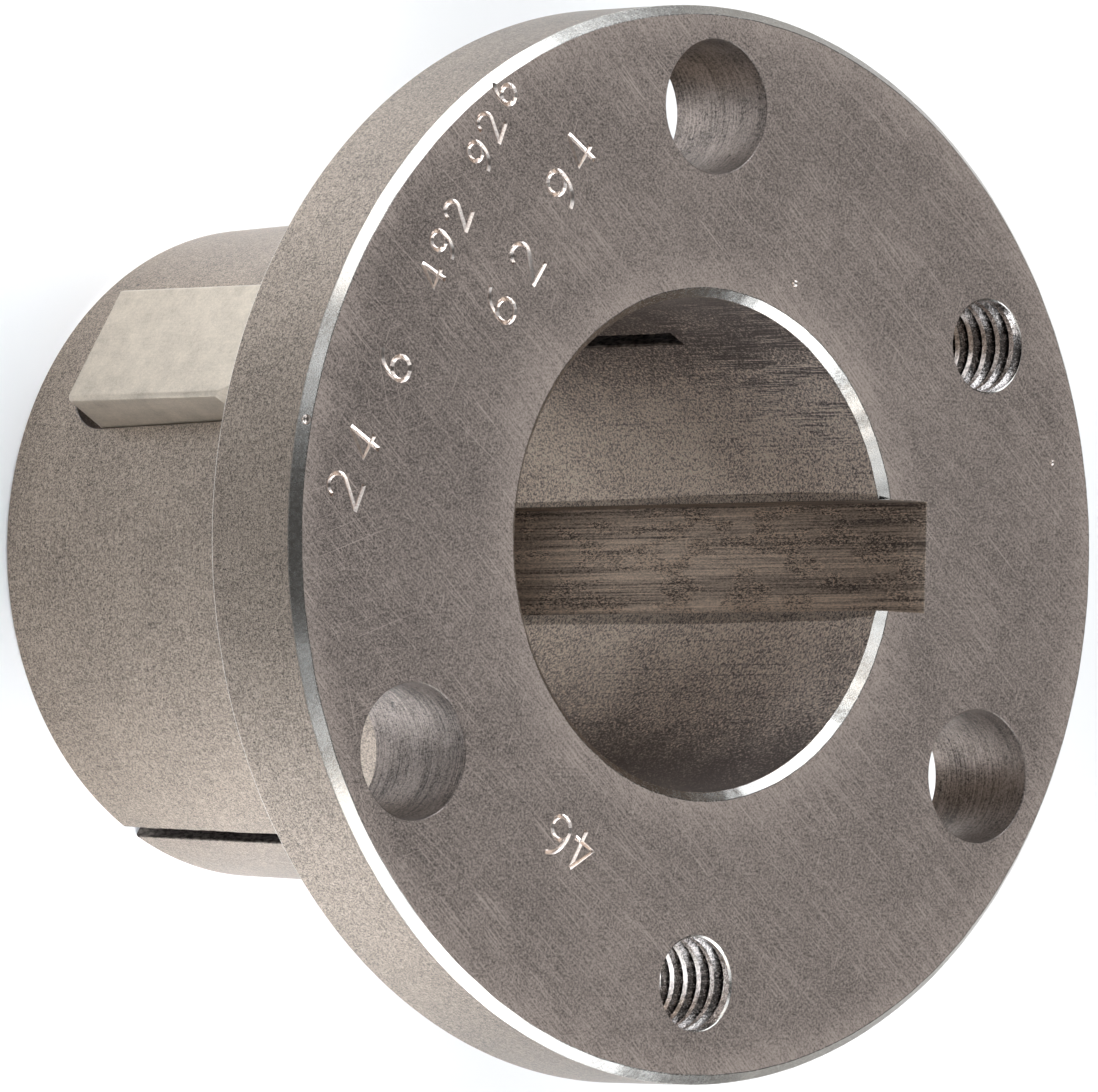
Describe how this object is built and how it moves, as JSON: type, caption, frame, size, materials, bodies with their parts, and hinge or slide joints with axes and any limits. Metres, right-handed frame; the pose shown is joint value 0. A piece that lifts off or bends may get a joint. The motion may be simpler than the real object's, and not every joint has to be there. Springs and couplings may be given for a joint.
{
  "type": "split taper bushing",
  "caption": "Flanged taper bushing with a barrel sawn through both walls, a keyed bore, a key in the barrel's side, cap screw holes and tapped jack screw holes.",
  "frame": {"origin": "centre of the barrel's small end, on the surface that the bushing stands on", "axes": "+Z along the bore from the small end to the flange face, +X from the axis through the shaft keyway"},
  "size_m": [0.0762, 0.0762, 0.0492],
  "materials": {
    "turned_steel": "fine speckled grey-brown steel, flange face ground with fine crossed scratches",
    "key_steel": "pale warm ground key steel, satin"
  },
  "bodies": {
    "root": {"bushing_body": "turned_steel", "barrel_key": "key_steel"}
  },
  "joints": []
}
